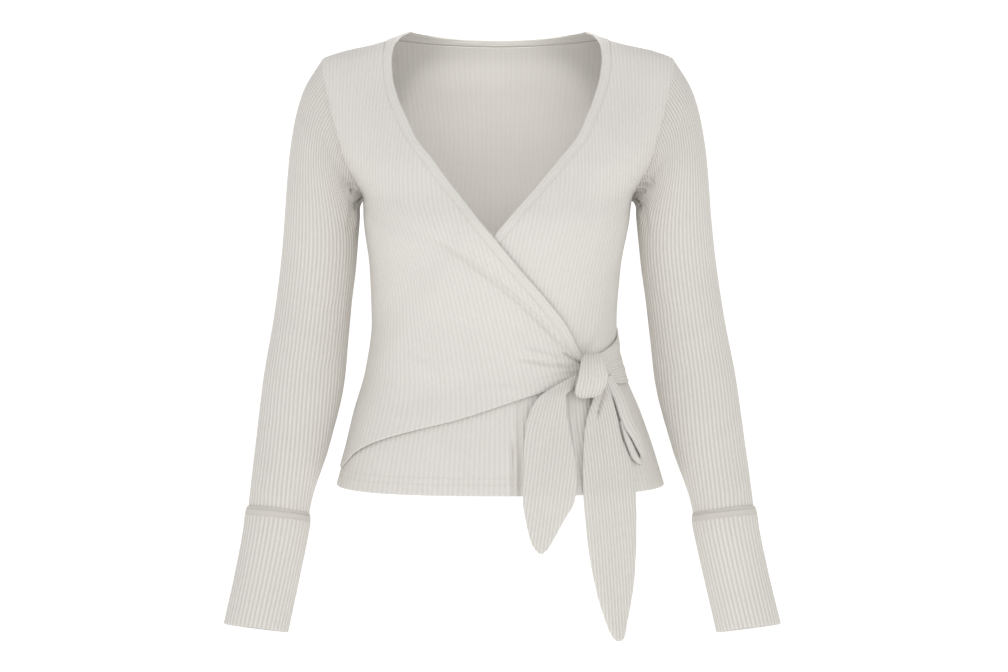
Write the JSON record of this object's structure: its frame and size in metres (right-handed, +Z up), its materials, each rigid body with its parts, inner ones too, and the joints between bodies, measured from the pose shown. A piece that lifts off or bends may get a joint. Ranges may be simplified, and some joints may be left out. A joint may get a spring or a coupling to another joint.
{
  "type": "long-sleeved rib-knit wrap top",
  "caption": "Hollow long-sleeved wrap top with crossed V-neck fronts, long cuffs and a side knot with hanging tails, open at neck, hem and cuffs.",
  "frame": {"origin": "midway between the high points of the shoulders, where the wearer's shoulders hold the top up", "axes": "+X to the wearer's left, -Y out of the front of the top, +Z up from hem to neck"},
  "size_m": [0.5825, 0.2434, 0.632],
  "materials": {
    "rib_knit": "matt, ribbed lengthways",
    "rib_knit_binding": "matt, folded double"
  },
  "bodies": {
    "root": {"back": "rib_knit", "front_over": "rib_knit", "front_under": "rib_knit", "sleeve_right": "rib_knit", "sleeve_left": "rib_knit", "cuff_right": "rib_knit", "cuff_left": "rib_knit", "neck_band_over": "rib_knit_binding", "neck_band_under": "rib_knit_binding", "neck_band_back": "rib_knit_binding", "tie_side": "rib_knit_binding", "knot": "rib_knit", "tail_short": "rib_knit", "tail_long": "rib_knit", "tie_loop": "rib_knit"}
  },
  "joints": []
}
